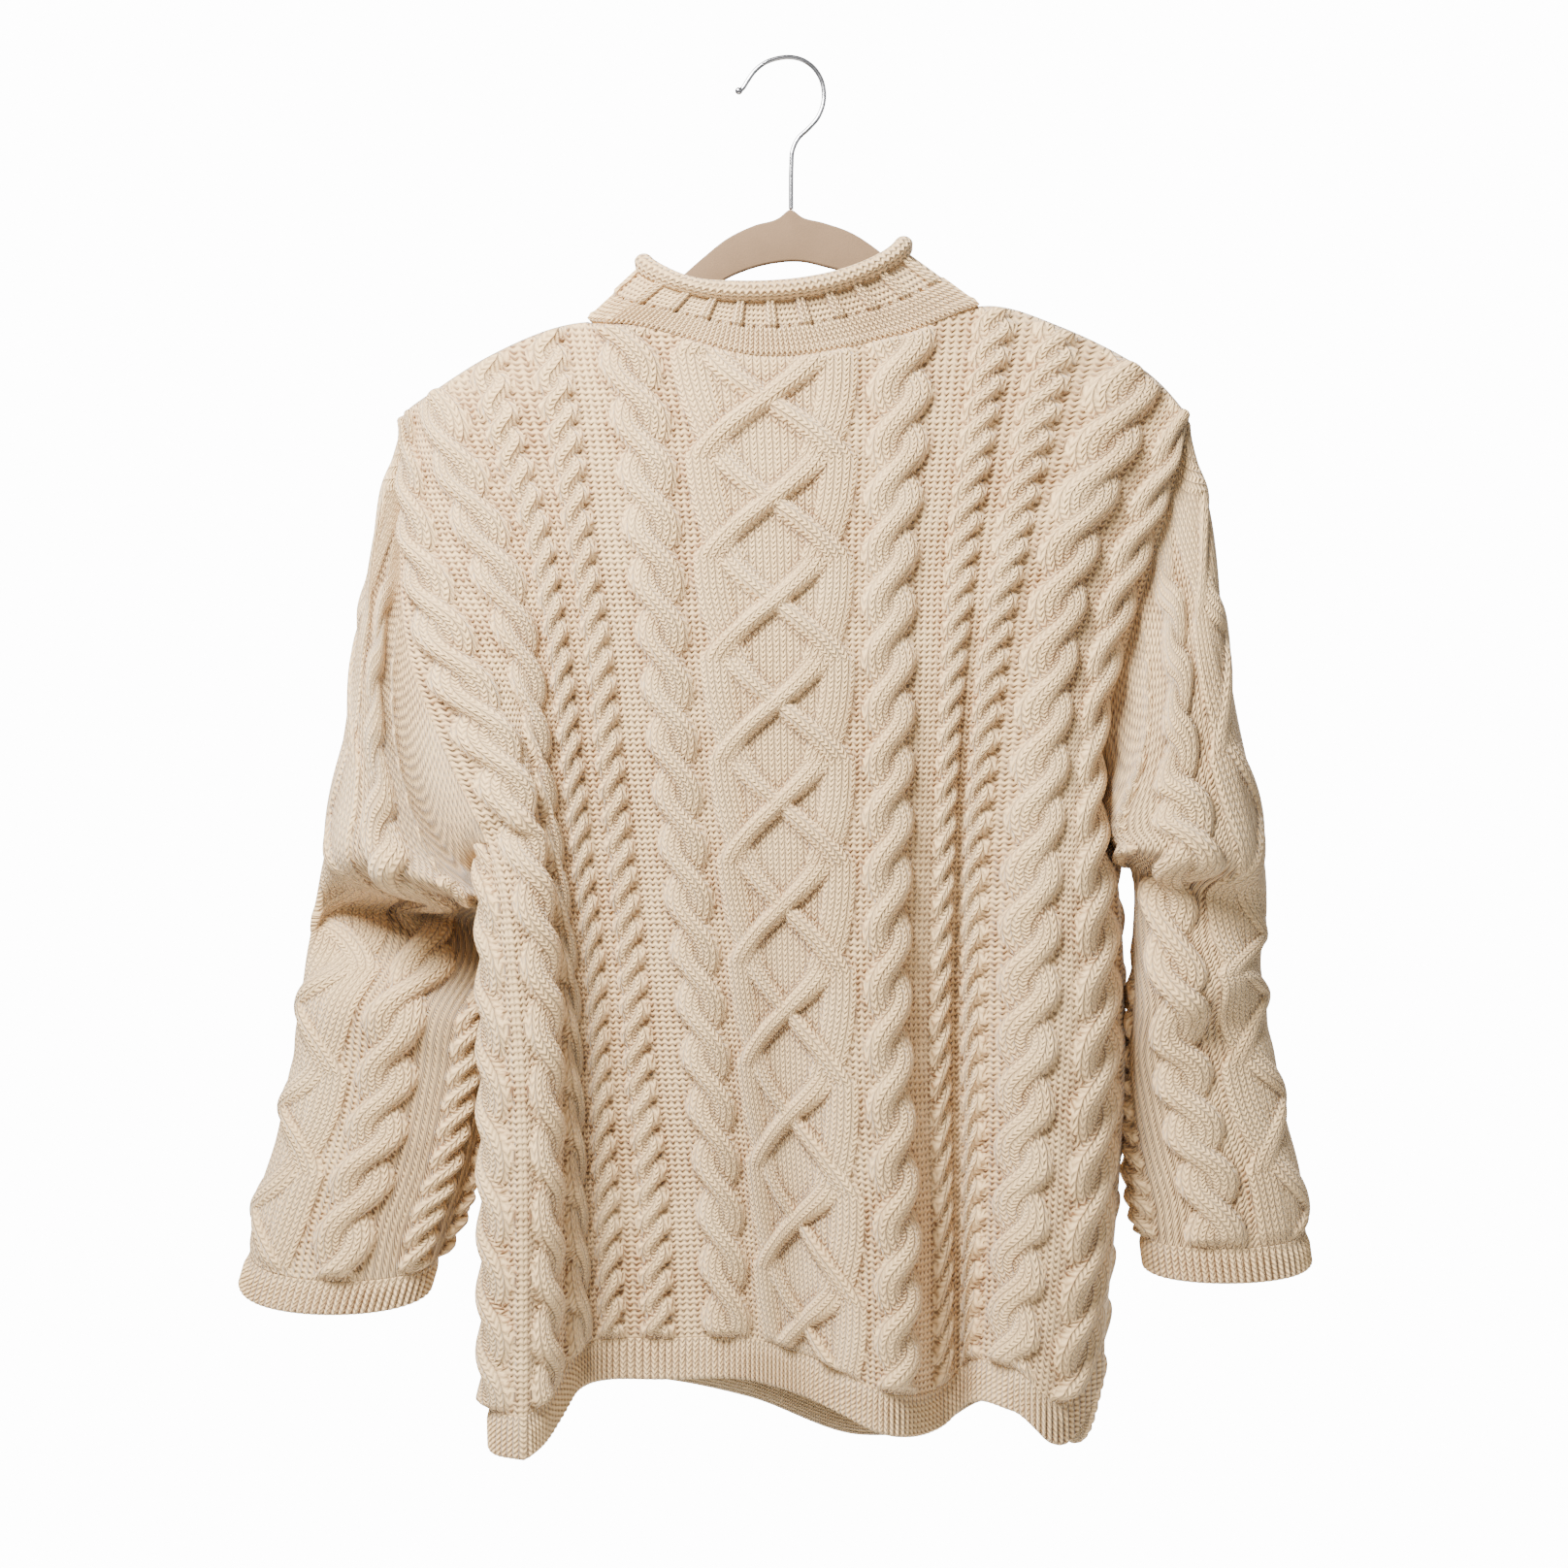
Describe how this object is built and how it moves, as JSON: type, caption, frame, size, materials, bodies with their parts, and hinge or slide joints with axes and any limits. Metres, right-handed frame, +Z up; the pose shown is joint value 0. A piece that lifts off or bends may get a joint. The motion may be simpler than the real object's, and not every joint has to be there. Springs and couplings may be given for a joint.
{
  "type": "cable-knit sweater on a clothes hanger",
  "caption": "Loose cable-knit sweater with drop shoulders, a rolled mock neck and ribbed hem and cuffs, hanging on a flat flocked clothes hanger with a wire hook.",
  "frame": {"origin": "inner top of the hook, where it sits on a rod", "axes": "+Z up along the hanging garment, -Y towards the back panel, +X to the right as seen from the back"},
  "size_m": [0.663, 0.1474, 0.8624],
  "materials": {
    "back_knit": "thick cream yarn, matte and slightly fuzzy",
    "front_knit": "thick cream yarn, matte and slightly fuzzy",
    "hem_rib_back_knit": "thick cream yarn, matte and slightly fuzzy",
    "hem_rib_front_knit": "thick cream yarn, matte and slightly fuzzy",
    "sleeve_left_knit": "thick cream yarn, matte and slightly fuzzy",
    "sleeve_right_knit": "thick cream yarn, matte and slightly fuzzy",
    "cuff_left_knit": "thick cream yarn, matte and slightly fuzzy",
    "cuff_right_knit": "thick cream yarn, matte and slightly fuzzy",
    "collar_band_knit": "thick cream yarn, matte and slightly fuzzy",
    "collar_roll_knit": "thick cream yarn, matte and slightly fuzzy",
    "hanger_flock": "blush flocking over moulded plastic",
    "hanger_steel": "polished bent wire"
  },
  "bodies": {
    "root": {"back": "back_knit", "front": "front_knit", "hem_rib_back": "hem_rib_back_knit", "hem_rib_front": "hem_rib_front_knit", "sleeve_left": "sleeve_left_knit", "sleeve_right": "sleeve_right_knit", "cuff_left": "cuff_left_knit", "cuff_right": "cuff_right_knit", "collar_band": "collar_band_knit", "collar_roll": "collar_roll_knit", "hanger_body": "hanger_flock", "hanger_hook": "hanger_steel"}
  },
  "joints": []
}
